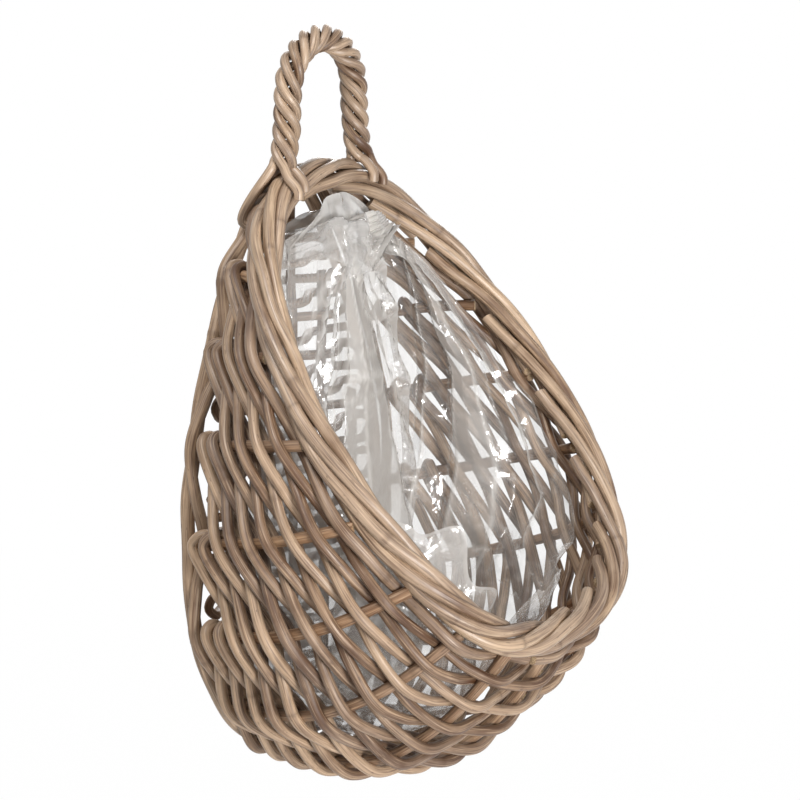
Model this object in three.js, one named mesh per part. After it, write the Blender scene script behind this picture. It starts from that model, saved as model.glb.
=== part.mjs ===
// Hanging planter basket: a pear-shaped wall basket woven from round rattan rods, with a flat back,
// a slanted mouth, a rolled border, a twisted loop handle and a thin film liner.
// Millimetres, +Z up, +X to the right, the mouth looks along -Y and the wall is on the +Y side.
// The origin is the point where a hook bears inside the top of the handle.
import * as THREE from 'three';

// Rod diameters, film thickness and the gap kept between pieces that touch.
const HOOP_D = 9;
const STICK_D = 6.4;
const BACK_WEAVER_D = 6;
const STAKE_D = 7.2;
const WEAVER_D = 7.5;
const BORDER_ROD_D = 8.8;
const STRAND_D = 5.4;
const FILM_THICKNESS = 1.2;
const CLEARANCE = 0.35;

// The back hoop: heights are measured from the hook, and depths out from the wall.
const HOOK_TO_WALL = 35;
const BACK_TOP = -78;
const BACK_BOTTOM = -448;
const BACK_HALF_WIDTH = 99;
const BACK_TAPER = 0.44;
const BACK_TAPER_POWER = 1.8;

// The middle line of the border round the slanted mouth.
const RIM_TOP = -75;
const RIM_BOTTOM = -346;
const RIM_TOP_DEPTH = 36;
const RIM_BOTTOM_DEPTH = 220;
const RIM_HALF_WIDTH = 120;
const RIM_TAPER = 0.5;
const RIM_TAPER_POWER = 1;
const RIM_TIP = 0.25;
const RIM_TIP_POWER = 7;

// How far the woven wall swells between the hoop and the border.
const SIDE_BULGE = 10;
const BELLY_BULGE = 41;

// How far a stake's foot climbs and its head drops from a level line, as an angle round the outlines.
const STAKE_SKEW = THREE.MathUtils.degToRad(5.5);

// The weave: stakes run from hoop to border, and each packing level adds four rows. Rows part for the next
// hairpin mostly in the last half of the way to its stake; the share of that done by halfway is small.
const STAKE_COUNT = 15;
const FIRST_STAKE_ANGLE = THREE.MathUtils.degToRad(50);
const PACKING_LEVELS = 5;
const EARLY_PARTING = 0.2;
const WEAVE_SLACK = 0.6;
const STAKE_FOOT_GAP = 0.3 * STAKE_D;

// Where the wall's rods are cut, in stakes past the lowest one.
const ROUND_START = 0.5;
const ROUND_END = 0.4;
const PACKING_START = -0.4;
const PACKING_END = -0.3;

// The flat back: the outer sticks stand at this share of the hoop's half width.
const STICK_COUNT = 5;
const STICK_SPREAD = 0.65;
const BACK_ROW_PITCH = 12.5;
const BACK_ROWS_PER_ROD = 7;

// The border and the handle.
const BORDER_TURNS = 3;
const BORDER_ROD_COUNT = 4;
const BORDER_BUTT_GAP = 3;
const HANDLE_BEND_RADIUS = 34;
const HANDLE_LEG = 42;
const HANDLE_SPLAY = 6;
const HANDLE_TURNS = 4.5;
const STRAND_COUNT = 4;
const FRONT_TUCK = 8;
const BACK_TUCK = 6;
const TUCK_SWING = 0.55;
const TUCK_SLACK = 0.03;

// The liner: how near its edge comes to the border, as a share of the wall, and where its back creases.
const LINER_REACH = 0.98;
const LINER_LATEST_START = 0.9;
const LINER_CREASES = [0.35, 0.7];
const LINER_MIDDLE_SHARE = 0.585;

// How finely the curves are drawn.
const ROD_SIDES = 6;
const WOVEN_SIDES = 5;
const HOOP_SIDES = 8;
const OUTLINE_SAMPLES = 180;
const HOOP_STEPS = 50;
const BORDER_STEPS = 44;
const STEPS_PER_TWIST = 8;
const STAKE_STEP = 28;
const WALL_STEPS = 40;
const LINER_AROUND = 30;
const LINER_RINGS = 6;
const HALVINGS = 40;
const SMALL_STEP = 0.01;
const TAU = 2 * Math.PI;
const BACKWARD = new THREE.Vector3(0, 1, 0);

const COLOURS = {
  hoop: 0x83705c,
  stick: 0x7d6a57,
  backWeaver: 0x8d7a67,
  stake: 0x8a7662,
  weaver: 0x947f69,
  packing: 0x8f7a65,
  border: 0xa08a72,
  handle: 0x9a846c,
  film: 0xdfe3e2,
};
const ROD_ROUGHNESS = 0.58;
const FILM_ROUGHNESS = 0.18;

const basket = new THREE.Group();

// A closed rod: one ring of corners at each point of the path, capped at both ends unless it is a loop.
// The reference vector fixes how each ring is turned about the path.
function rodGeometry(path, diameter, reference, { sides = ROD_SIDES, loop = false, turn = 0 } = {}) {
  const positions = [];
  const count = path.length;
  path.forEach((point, index) => {
    const before = path[loop ? (index + count - 1) % count : Math.max(index - 1, 0)];
    const after = path[loop ? (index + 1) % count : Math.min(index + 1, count - 1)];
    const along = after.clone().sub(before).normalize();
    const first = reference.clone().addScaledVector(along, -reference.dot(along)).normalize();
    const second = along.clone().cross(first);
    for (let corner = 0; corner < sides; corner += 1) {
      const angle = turn + (TAU * corner) / sides;
      const vertex = point.clone();
      vertex.addScaledVector(first, (diameter / 2) * Math.cos(angle));
      vertex.addScaledVector(second, (diameter / 2) * Math.sin(angle));
      positions.push(vertex.x, vertex.y, vertex.z);
    }
  });
  const faces = [];
  const spans = loop ? count : count - 1;
  for (let ring = 0; ring < spans; ring += 1) {
    const here = ring * sides;
    const next = ((ring + 1) % count) * sides;
    for (let corner = 0; corner < sides; corner += 1) {
      const beside = (corner + 1) % sides;
      faces.push(here + corner, here + beside, next + beside);
      faces.push(here + corner, next + beside, next + corner);
    }
  }
  if (!loop) {
    const end = (count - 1) * sides;
    for (let corner = 1; corner < sides - 1; corner += 1) {
      faces.push(0, corner + 1, corner);
      faces.push(end, end + corner, end + corner + 1);
    }
  }
  return solidGeometry(positions, faces);
}

function solidGeometry(positions, faces) {
  const geometry = new THREE.BufferGeometry();
  geometry.setAttribute('position', new THREE.Float32BufferAttribute(positions, 3));
  geometry.setIndex(faces);
  geometry.computeVertexNormals();
  return geometry;
}

function addPiece(name, geometry, color, roughness = ROD_ROUGHNESS) {
  const material = new THREE.MeshStandardMaterial({ color, roughness, metalness: 0 });
  const mesh = new THREE.Mesh(geometry, material);
  mesh.name = name;
  basket.add(mesh);
}

// Halves the span between low and high until it closes on the place where isLow turns false.
function closeIn(low, high, isLow) {
  let [near, far] = [low, high];
  for (let halving = 0; halving < HALVINGS; halving += 1) {
    const middle = (near + far) / 2;
    [near, far] = isLow(middle) ? [middle, far] : [near, middle];
  }
  return far;
}

// A pear outline in the X-Z plane: angle 0 is the top and pi the bottom. It is an ellipse drawn in
// towards the top by the taper and towards the bottom by the tip, and its widest part reaches halfWidth.
function pearOutline(top, bottom, halfWidth, taper, taperPower, tip = 0, tipPower = 1) {
  const drawnIn = (angle) => {
    const upper = 1 - taper * ((1 + Math.cos(angle)) / 2) ** taperPower;
    const lower = 1 - tip * ((1 - Math.cos(angle)) / 2) ** tipPower;
    return Math.sin(angle) * upper * lower;
  };
  const samples = Array.from({ length: OUTLINE_SAMPLES }, (_, step) => {
    return drawnIn((Math.PI * step) / OUTLINE_SAMPLES);
  });
  const widest = Math.max(...samples);
  const middle = (top + bottom) / 2;
  const half = (top - bottom) / 2;
  return (angle) => ({
    x: (halfWidth * drawnIn(angle)) / widest,
    z: middle + half * Math.cos(angle),
  });
}

const backOutline = pearOutline(BACK_TOP, BACK_BOTTOM, BACK_HALF_WIDTH, BACK_TAPER, BACK_TAPER_POWER);
const rimOutline = pearOutline(
  RIM_TOP,
  RIM_BOTTOM,
  RIM_HALF_WIDTH,
  RIM_TAPER,
  RIM_TAPER_POWER,
  RIM_TIP,
  RIM_TIP_POWER,
);
const hoopDepth = HOOP_D / 2;

// A point given by its depth out from the wall.
function atDepth(x, depth, z) {
  return new THREE.Vector3(x, HOOK_TO_WALL - depth, z);
}

function hoopPoint(angle) {
  const { x, z } = backOutline(angle);
  return atDepth(x, hoopDepth, z);
}

function rimDepth(angle) {
  return RIM_TOP_DEPTH + ((RIM_BOTTOM_DEPTH - RIM_TOP_DEPTH) * (1 - Math.cos(angle))) / 2;
}

function rimPoint(angle) {
  const { x, z } = rimOutline(angle);
  return atDepth(x, rimDepth(angle), z);
}

// The middle surface of the woven wall: straight from hoop to border, plus an outward swell.
function wallFoot(angle) {
  return hoopPoint(angle - STAKE_SKEW * Math.sin(angle));
}

function wallHead(angle) {
  return rimPoint(angle + STAKE_SKEW * Math.sin(angle));
}

function outward(angle) {
  const before = wallFoot(angle - SMALL_STEP).add(wallHead(angle - SMALL_STEP));
  const after = wallFoot(angle + SMALL_STEP).add(wallHead(angle + SMALL_STEP));
  const along = after.sub(before);
  return new THREE.Vector3(-along.z, 0, along.x).normalize();
}

function wallPoint(angle, share) {
  const belly = ((1 - Math.cos(angle)) / 2) ** 2;
  const swell = SIDE_BULGE + (BELLY_BULGE - SIDE_BULGE) * belly;
  const point = wallFoot(angle).lerp(wallHead(angle), share);
  return point.addScaledVector(outward(angle), swell * 4 * share * (1 - share));
}

function wallRound(angle, share) {
  return wallPoint(angle + SMALL_STEP, share).sub(wallPoint(angle - SMALL_STEP, share)).normalize();
}

function wallForward(angle, share) {
  return wallPoint(angle, share + SMALL_STEP).sub(wallPoint(angle, share - SMALL_STEP)).normalize();
}

function wallNormal(angle, share) {
  return wallForward(angle, share).cross(wallRound(angle, share)).normalize();
}

// The wall's length from hoop to border at one angle, and the share of it at a distance from the hoop.
// The wall meets the border at a slant, so a clear distance to the border is longer along the wall.
function wallProfile(angle) {
  const distances = [0];
  for (let step = 1; step <= WALL_STEPS; step += 1) {
    const span = wallPoint(angle, step / WALL_STEPS).distanceTo(wallPoint(angle, (step - 1) / WALL_STEPS));
    distances.push(distances[step - 1] + span);
  }
  const shareAt = (distance) => {
    const last = distances.findIndex((value) => value >= distance);
    const step = last < 1 ? 1 : last;
    const span = distances[step] - distances[step - 1];
    return (step - 1 + (distance - distances[step - 1]) / span) / WALL_STEPS;
  };
  const lean = Math.abs(wallForward(angle, 1).dot(wallRound(angle, 1)));
  const borderClear = (distance, halfEnd) => (distance + halfEnd * lean) / Math.sqrt(1 - lean * lean);
  return { length: distances[WALL_STEPS], shareAt, borderClear };
}

// A point near the wall: its angle, its distance from the hoop along the wall, and how far it stands off.
function wallPlace(angle, distance, standOff) {
  const { shareAt } = wallProfile(angle);
  const share = shareAt(distance);
  return wallPoint(angle, share).addScaledVector(wallNormal(angle, share), standOff);
}

// Stations count the stakes round the wall: 0 is the top and 1 to STAKE_COUNT are the stakes.
const stationCount = STAKE_COUNT + 1;
const stakeStep = (2 * (Math.PI - FIRST_STAKE_ANGLE)) / (STAKE_COUNT - 1);

function stationAngle(station) {
  if (station > stationCount / 2) {
    return TAU - stationAngle(stationCount - station);
  }
  return station < 1 ? FIRST_STAKE_ANGLE * station : FIRST_STAKE_ANGLE + stakeStep * (station - 1);
}

const borderOffset = (BORDER_ROD_D + CLEARANCE) / Math.SQRT2;
const borderRadius = borderOffset + BORDER_ROD_D / 2;
const hoopRadius = HOOP_D / 2 / Math.cos(Math.PI / HOOP_SIDES);
const hoopToRow = hoopRadius + WEAVER_D / 2 + CLEARANCE;
const borderToRow = borderRadius + WEAVER_D / 2 + 2 * CLEARANCE;
const weaveHeight = (STAKE_D + WEAVER_D) / 2 + CLEARANCE + WEAVE_SLACK;

// Rows of the wall. Half of them count up from the hoop and half from the border. Rank 0 runs all the
// way round, and each packing level has an outer row and an inner row that meet round a stake.
function rowDistance(station, fromBorder, level, inner) {
  const angle = stationAngle(station);
  const { length, borderClear } = wallProfile(angle);
  const lastRow = length - borderClear(borderToRow, 0);
  const fromTop = Math.min(station, stationCount - station);
  const lastStake = Math.floor(fromTop);
  const depth = Math.min(lastStake + EARLY_PARTING * (fromTop - lastStake), PACKING_LEVELS);
  const pitch = (lastRow - hoopToRow) / (4 * depth + 1);
  const rank = inner ? 2 * depth + 1 - level : level;
  return fromBorder ? lastRow - rank * pitch : hoopToRow + rank * pitch;
}

function rowSide(station, fromBorder, level, inner) {
  const flips = station + level + (inner ? 1 : 0) + (fromBorder ? 1 : 0);
  return flips % 2 === 0 ? 1 : -1;
}

function rowPoint(station, fromBorder, level, inner) {
  const atStake = Number.isInteger(station) && station > 0 && station < stationCount;
  const side = atStake ? rowSide(station, fromBorder, level, inner) : 0;
  return wallPlace(stationAngle(station), rowDistance(station, fromBorder, level, inner), side * weaveHeight);
}

// The stations of a run: its two ends, and every stake and halfway point between them.
function rowStations(from, to) {
  const way = Math.sign(to - from);
  const between = [];
  for (let half = 0; half <= 2 * stationCount; half += 1) {
    const station = half / 2;
    if ((station - from) * way > SMALL_STEP && (to - station) * way > SMALL_STEP) {
      between.push(station);
    }
  }
  if (way < 0) {
    between.reverse();
  }
  return [from, ...between, to];
}

// The turn of a packing rod round the far side of a stake, from one of its rows to the other.
function hairpin(station, fromBorder, level, fromInner) {
  const beyond = station < stationCount / 2 ? -1 : 1;
  const angle = stationAngle(station);
  const here = rowDistance(station, fromBorder, level, fromInner);
  const there = rowDistance(station, fromBorder, level, !fromInner);
  const side = rowSide(station, fromBorder, level, fromInner);
  return [-45, 0, 45].map((degrees, step) => {
    const turn = THREE.MathUtils.degToRad(degrees);
    const distance = here + ((there - here) * (step + 1)) / 4;
    const share = wallProfile(angle).shareAt(distance);
    const standOff = -side * weaveHeight * Math.sin(turn);
    const ahead = beyond * weaveHeight * Math.cos(turn);
    return wallPlace(angle, distance, standOff).addScaledVector(wallRound(angle, share), ahead);
  });
}

function addBackHoop() {
  const path = Array.from({ length: HOOP_STEPS }, (_, step) => hoopPoint((TAU * step) / HOOP_STEPS));
  const options = { sides: HOOP_SIDES, loop: true, turn: Math.PI / HOOP_SIDES };
  addPiece('back_hoop', rodGeometry(path, 2 * hoopRadius, BACKWARD, options), COLOURS.hoop);
}

// The flat back: upright sticks inside the hoop, with rods woven to and fro across them.
const backWeaveHeight = (STICK_D + BACK_WEAVER_D) / 2 + CLEARANCE + WEAVE_SLACK;
const backDepth = backWeaveHeight + BACK_WEAVER_D / 2;
const backFront = backDepth + backWeaveHeight + BACK_WEAVER_D / 2;

// The line inside the hoop where the woven rods turn back, at one angle of the outline.
const turnMargin = hoopRadius + BACK_WEAVER_D / 2 + CLEARANCE;

function turnLine(angle) {
  const { x, z } = backOutline(angle);
  const before = backOutline(angle - SMALL_STEP);
  const after = backOutline(angle + SMALL_STEP);
  const scale = turnMargin / Math.hypot(after.x - before.x, after.z - before.z);
  return { x: x + scale * (after.z - before.z), z: z - scale * (after.x - before.x) };
}

function turnLineAt(z) {
  return turnLine(closeIn(0, Math.PI, (angle) => turnLine(angle).z > z)).x;
}

const stickSpacing = (2 * STICK_SPREAD * BACK_HALF_WIDTH) / (STICK_COUNT - 1);
const stickPlaces = Array.from({ length: STICK_COUNT }, (_, index) => {
  return stickSpacing * (index - (STICK_COUNT - 1) / 2);
});
const stickMargin = (BACK_ROW_PITCH + STICK_D) / 2 + BACK_WEAVER_D + CLEARANCE;

function addBackSticks() {
  const angles = Array.from({ length: WALL_STEPS }, (_, step) => (Math.PI * step) / WALL_STEPS);
  const widest = angles.reduce((best, angle) => (turnLine(angle).x > turnLine(best).x ? angle : best));
  stickPlaces.forEach((x, index) => {
    const outside = (angle) => turnLine(angle).x < Math.abs(x) + stickMargin;
    const ends = [Math.PI, 0].map((tip) => atDepth(x, backDepth, turnLine(closeIn(tip, widest, outside)).z));
    const options = { sides: HOOP_SIDES, turn: Math.PI / HOOP_SIDES };
    addPiece(`back_stick_${index + 1}`, rodGeometry(ends, STICK_D, BACKWARD, options), COLOURS.stick);
  });
}

function addBackWeavers() {
  const lowest = BACK_BOTTOM + HOOP_D + BACK_WEAVER_D;
  const rowCount = Math.floor((BACK_TOP - lowest) / BACK_ROW_PITCH) - 1;
  const rods = Math.ceil(rowCount / BACK_ROWS_PER_ROD);
  for (let rod = 0; rod < rods; rod += 1) {
    const path = [];
    const first = rod * BACK_ROWS_PER_ROD;
    const last = Math.min(first + BACK_ROWS_PER_ROD, rowCount);
    for (let row = first; row < last; row += 1) {
      const z = lowest + row * BACK_ROW_PITCH;
      const end = turnLineAt(z) - BACK_ROW_PITCH / 2;
      const crossed = stickPlaces.filter((x) => Math.abs(x) < end - CLEARANCE);
      const points = [atDepth(-end, backDepth, z)];
      crossed.forEach((x) => {
        const index = stickPlaces.indexOf(x);
        const side = (row + index) % 2 === 0 ? 1 : -1;
        points.push(atDepth(x, backDepth + side * backWeaveHeight, z));
      });
      points.push(atDepth(end, backDepth, z));
      const heading = row % 2 === 0 ? 1 : -1;
      if (heading < 0) {
        points.reverse();
      }
      path.push(...points);
      if (row < last - 1) {
        const turnZ = z + BACK_ROW_PITCH / 2;
        path.push(atDepth(heading * (turnLineAt(turnZ) - CLEARANCE), backDepth, turnZ));
      }
    }
    const geometry = rodGeometry(path, BACK_WEAVER_D, BACKWARD, { sides: WOVEN_SIDES });
    addPiece(`back_weaver_${rod + 1}`, geometry, COLOURS.backWeaver);
  }
}

function addStakes() {
  for (let stake = 1; stake <= STAKE_COUNT; stake += 1) {
    const angle = stationAngle(stake);
    const { length, borderClear } = wallProfile(angle);
    const from = hoopRadius + STAKE_FOOT_GAP + CLEARANCE;
    const to = length - borderClear(borderRadius + CLEARANCE, STAKE_D / 2);
    const steps = 2 + Math.round(length / STAKE_STEP);
    const path = Array.from({ length: steps + 1 }, (_, step) => {
      return wallPlace(angle, from + ((to - from) * step) / steps, 0);
    });
    const name = `side_stake_${String(stake).padStart(2, '0')}`;
    const geometry = rodGeometry(path, STAKE_D, wallRound(angle, 0.5), { sides: WOVEN_SIDES });
    addPiece(name, geometry, COLOURS.stake);
  }
}

// Two rods run all the way round the wall: one against the hoop, one against the border.
// Each is cut at the bottom, where its ends butt behind a stake.
function addRoundWeavers() {
  const bottom = stationCount / 2;
  const overTop = [-3, -2, -1, 0, 1, 2, 3].map((quarter) => (quarter < 0 ? stationCount : 0) + quarter / 4);
  const stations = [
    ...rowStations(bottom + ROUND_START, stationCount - 1),
    ...overTop,
    ...rowStations(1, bottom + ROUND_END),
  ];
  [false, true].forEach((fromBorder) => {
    const path = stations.map((station) => rowPoint(station, fromBorder, 0, false));
    const name = fromBorder ? 'wall_weaver_border' : 'wall_weaver_hoop';
    addPiece(name, rodGeometry(path, WEAVER_D, BACKWARD, { sides: WOVEN_SIDES }), COLOURS.weaver);
  });
}

// A packing rod starts at the bottom, climbs one side, turns round a stake, comes back down and up the
// other side, turns again and returns to where it started.
function addPackingRods() {
  const bottom = stationCount / 2;
  [false, true].forEach((fromBorder) => {
    for (let level = 1; level <= PACKING_LEVELS; level += 1) {
      const farStake = stationCount - level;
      const row = (from, to, inner) => {
        return rowStations(from, to).map((station) => rowPoint(station, fromBorder, level, inner));
      };
      const path = [
        ...row(bottom + PACKING_START, level, false),
        ...hairpin(level, fromBorder, level, false),
        ...row(level, farStake, true),
        ...hairpin(farStake, fromBorder, level, true),
        ...row(farStake, bottom + PACKING_END, false),
      ];
      const name = `packing_rod_${fromBorder ? 'border' : 'hoop'}_${level}`;
      addPiece(name, rodGeometry(path, WEAVER_D, BACKWARD, { sides: WOVEN_SIDES }), COLOURS.packing);
    }
  });
}

// The slanted plane of the mouth: its direction down the slope and its normal, out of the mouth.
const downSlope = new THREE.Vector3(0, RIM_TOP_DEPTH - RIM_BOTTOM_DEPTH, RIM_BOTTOM - RIM_TOP).normalize();
const outOfMouth = new THREE.Vector3(1, 0, 0).cross(downSlope).negate();

// The border: rods laid side by side and twisted slowly round the rim, each with its own butt joint.
function addBorder() {
  for (let rod = 0; rod < BORDER_ROD_COUNT; rod += 1) {
    const start = (TAU * (rod + 0.5)) / BORDER_ROD_COUNT;
    const sweep = TAU - BORDER_BUTT_GAP / RIM_HALF_WIDTH;
    const path = Array.from({ length: BORDER_STEPS + 1 }, (_, step) => {
      const angle = start + (sweep * step) / BORDER_STEPS;
      const lay = (TAU * rod) / BORDER_ROD_COUNT - BORDER_TURNS * angle;
      const round = rimPoint(angle + SMALL_STEP).sub(rimPoint(angle - SMALL_STEP)).normalize();
      const sideways = round.cross(outOfMouth);
      const point = rimPoint(angle);
      point.addScaledVector(outOfMouth, borderOffset * Math.cos(lay));
      return point.addScaledVector(sideways, borderOffset * Math.sin(lay));
    });
    addPiece(`border_rod_${rod + 1}`, rodGeometry(path, BORDER_ROD_D, outOfMouth), COLOURS.border);
  }
}

// The handle: four strands twisted into a rope along an arch. At each foot two strands cross in front
// of the border into the mouth, and two go down through the wall behind it.
const strandOffset = STRAND_D + CLEARANCE;
const ropeRadius = strandOffset + STRAND_D / 2;
const archLength = Math.PI * HANDLE_BEND_RADIUS + 2 * HANDLE_LEG;

// The handle's middle line, by the distance from its crown: a half circle, then legs that splay out.
function archPoint(fromCrown) {
  const side = Math.sign(fromCrown);
  const bend = Math.min(Math.abs(fromCrown) / HANDLE_BEND_RADIUS, Math.PI / 2);
  const down = Math.abs(fromCrown) - bend * HANDLE_BEND_RADIUS;
  const x = HANDLE_BEND_RADIUS * Math.sin(bend) + HANDLE_SPLAY * (down / HANDLE_LEG) ** 2;
  return new THREE.Vector3(side * x, 0, ropeRadius - HANDLE_BEND_RADIUS * (1 - Math.cos(bend)) - down);
}

function strandPoint(strand, share) {
  const fromCrown = archLength * (share - 0.5);
  const along = archPoint(fromCrown + SMALL_STEP).sub(archPoint(fromCrown - SMALL_STEP)).normalize();
  const sideways = along.clone().cross(BACKWARD);
  const lay = TAU * (HANDLE_TURNS * share + (strand + 0.5) / STRAND_COUNT);
  const point = archPoint(fromCrown).addScaledVector(BACKWARD, -strandOffset * Math.cos(lay));
  return point.addScaledVector(sideways, strandOffset * Math.sin(lay));
}

function rimAngleAt(x) {
  const angle = closeIn(0, Math.PI / 2, (low) => rimPoint(low).x < Math.abs(x));
  return x < 0 ? TAU - angle : angle;
}

function frontTuck(foot) {
  const centre = rimPoint(rimAngleAt(foot.x));
  const reach = (1 + TUCK_SLACK) * (borderRadius + STRAND_D / 2) + CLEARANCE;
  const over = outOfMouth.clone().addScaledVector(downSlope, -TUCK_SWING).normalize();
  const high = centre.clone().addScaledVector(over, reach);
  const beside = centre.clone().addScaledVector(outOfMouth, reach);
  const below = beside.clone().addScaledVector(downSlope, FRONT_TUCK / 2);
  return [high, beside, below, below.clone().add(new THREE.Vector3(0, 0, -FRONT_TUCK / 2))];
}

function backTuck(foot) {
  const angle = rimAngleAt(foot.x);
  const { length, borderClear } = wallProfile(angle);
  const behindRow = (WEAVER_D + STRAND_D) / 2 + 2 * CLEARANCE;
  const distance = length - borderClear(borderToRow + behindRow, 0);
  return [wallPlace(angle, distance, BACK_TUCK), wallPlace(angle, distance, -BACK_TUCK)];
}

function addHandle() {
  const steps = Math.round(STEPS_PER_TWIST * HANDLE_TURNS);
  const tuck = (foot) => (foot.y < 0 ? frontTuck(foot) : backTuck(foot));
  for (let strand = 0; strand < STRAND_COUNT; strand += 1) {
    const rope = Array.from({ length: steps + 1 }, (_, step) => strandPoint(strand, step / steps));
    const path = [...tuck(rope[0]).reverse(), ...rope, ...tuck(rope[steps])];
    addPiece(`handle_strand_${strand + 1}`, rodGeometry(path, STRAND_D, BACKWARD), COLOURS.handle);
  }
}

// The liner: a film bag that lies inside the weave and is open at the mouth.
function addLiner() {
  const standOff = weaveHeight + WEAVER_D / 2 + 2 * CLEARANCE;
  const backGap = backFront + CLEARANCE;
  const outer = linerLayer(standOff, backGap);
  const inner = linerLayer(standOff + FILM_THICKNESS, backGap + FILM_THICKNESS);
  addPiece('liner', bagGeometry(outer, inner), COLOURS.film, FILM_ROUGHNESS);
}

// One face of the film: rings across the back, then rings out along the wall to the mouth.
function linerLayer(standOff, backGap) {
  const columns = Array.from({ length: LINER_AROUND }, (_, step) => {
    const angle = (TAU * step) / LINER_AROUND;
    const reach = HOOK_TO_WALL - wallHead(angle).y - hoopDepth;
    const from = Math.min((backGap - hoopDepth) / reach, LINER_LATEST_START);
    return Array.from({ length: LINER_RINGS }, (_ring, ring) => {
      const share = from + ((LINER_REACH - from) * ring) / (LINER_RINGS - 1);
      return linerPoint(angle, share, standOff);
    });
  });
  const middleZ = THREE.MathUtils.lerp(BACK_TOP, BACK_BOTTOM, LINER_MIDDLE_SHARE);
  const acrossBack = LINER_CREASES.map((scale) => columns.map(([first]) => {
    return new THREE.Vector3(0, first.y, middleZ).lerp(first, scale);
  }));
  const alongWall = Array.from({ length: LINER_RINGS }, (_, ring) => columns.map((column) => column[ring]));
  return [...acrossBack, ...alongWall];
}

function linerPoint(angle, share, standOff) {
  const slope = wallForward(angle, share);
  const out = outward(angle);
  const rise = slope.dot(out) / Math.abs(slope.y);
  return wallPoint(angle, share).addScaledVector(out, -standOff * Math.hypot(1, rise));
}

// Two layers of rings joined at their last ring, each closed by a fan at its first.
function bagGeometry(outer, inner) {
  const positions = [];
  const faces = [];
  const around = outer[0].length;
  const place = (point) => {
    positions.push(point.x, point.y, point.z);
    return positions.length / 3 - 1;
  };
  const centre = (ring) => {
    return ring.reduce((sum, point) => sum.add(point), new THREE.Vector3()).divideScalar(ring.length);
  };
  const rows = [...outer, ...inner.slice().reverse()].map((ring) => ring.map(place));
  const ends = [place(centre(outer[0])), place(centre(inner[0]))];
  rows.slice(0, -1).forEach((row, index) => {
    const next = rows[index + 1];
    for (let step = 0; step < around; step += 1) {
      const beside = (step + 1) % around;
      faces.push(row[step], next[beside], row[beside]);
      faces.push(row[step], next[step], next[beside]);
    }
  });
  const last = rows[rows.length - 1];
  for (let step = 0; step < around; step += 1) {
    const beside = (step + 1) % around;
    faces.push(ends[0], rows[0][step], rows[0][beside]);
    faces.push(ends[1], last[beside], last[step]);
  }
  return solidGeometry(positions, faces);
}

addBackHoop();
addBackSticks();
addBackWeavers();
addStakes();
addRoundWeavers();
addPackingRods();
addBorder();
addHandle();
addLiner();

export default basket;
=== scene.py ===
# %% [markdown]
# # A hanging planter basket
# The basket is woven from round rattan rods and lined with clear film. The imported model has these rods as
# solids, but faceted and perfectly even, and its mouth is narrower at the top than the real one. Bevels
# alone wouldn't turn them into rattan, so all rods are drawn again here, round, a little crooked and with
# the marks of real cane, and stand for the plain solids. The frame comes first, because every new piece is
# tied to it.

import bpy
import numpy as np
from mathutils import Matrix


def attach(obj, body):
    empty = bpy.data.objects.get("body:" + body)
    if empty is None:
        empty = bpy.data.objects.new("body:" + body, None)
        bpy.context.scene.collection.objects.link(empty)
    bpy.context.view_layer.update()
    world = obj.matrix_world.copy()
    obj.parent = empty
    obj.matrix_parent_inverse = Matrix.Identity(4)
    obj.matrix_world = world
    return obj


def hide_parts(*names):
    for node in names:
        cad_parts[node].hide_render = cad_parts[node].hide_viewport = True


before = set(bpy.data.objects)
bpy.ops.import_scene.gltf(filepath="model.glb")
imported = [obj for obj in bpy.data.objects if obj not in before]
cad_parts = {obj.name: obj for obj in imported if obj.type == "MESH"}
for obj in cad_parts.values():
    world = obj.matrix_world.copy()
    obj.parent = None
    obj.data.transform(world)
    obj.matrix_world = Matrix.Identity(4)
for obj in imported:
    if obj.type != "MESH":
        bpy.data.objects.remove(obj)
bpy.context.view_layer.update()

# %% [markdown]
# ## The camera
# The photograph was taken from the basket's left, a little above its middle, with a long lens. A camera
# is a place and three directions: back towards the lens, right and up in the picture. Written as the
# columns of a matrix, they put the camera there with no constraint or empty to aim at.

# %% The camera
AZIMUTH = -55
ELEVATION = 12
DISTANCE = 1.6
FIELD = 0.496
AIM = np.array([0, -0.060, -0.225])
AIM_UP = 0.0130
AIM_RIGHT = -0.0006


def view_directions(azimuth, elevation):
    """Back, right and up of a view: azimuth turns round Z from the front, elevation is above level."""
    a, e = np.radians([azimuth, elevation])
    back = np.array([np.sin(a) * np.cos(e), -np.cos(a) * np.cos(e), np.sin(e)])
    right = np.array([np.cos(a), np.sin(a), 0])
    return back, right, np.cross(back, right)


def stand_at(place, back, right, up):
    """The matrix whose columns are right, up, back and the place."""
    return Matrix(np.vstack([np.column_stack([right, up, back, place]), [0, 0, 0, 1]]))


back, right, up = view_directions(AZIMUTH, ELEVATION)
middle = AIM + AIM_UP * up + AIM_RIGHT * right
camera = bpy.data.objects.new("camera", bpy.data.cameras.new("camera"))
camera.data.sensor_width = 36
camera.data.lens = camera.data.sensor_width * DISTANCE / FIELD
camera.matrix_world = stand_at(middle + DISTANCE * back, back, right, up)
bpy.context.scene.collection.objects.link(camera)
bpy.context.scene.camera = camera
print("lens", round(camera.data.lens, 1), "mm")

# %% [markdown]
# ## Sums with sockets
# A finish is mostly arithmetic: this noise times that mask, one minus the fibres. Wired by hand, each sum is
# a node and two links. A small class that holds one socket and knows Python's operators writes the same
# sums as plain expressions, and one method adds any other kind of node.

# %% A socket that can be added and multiplied


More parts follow.
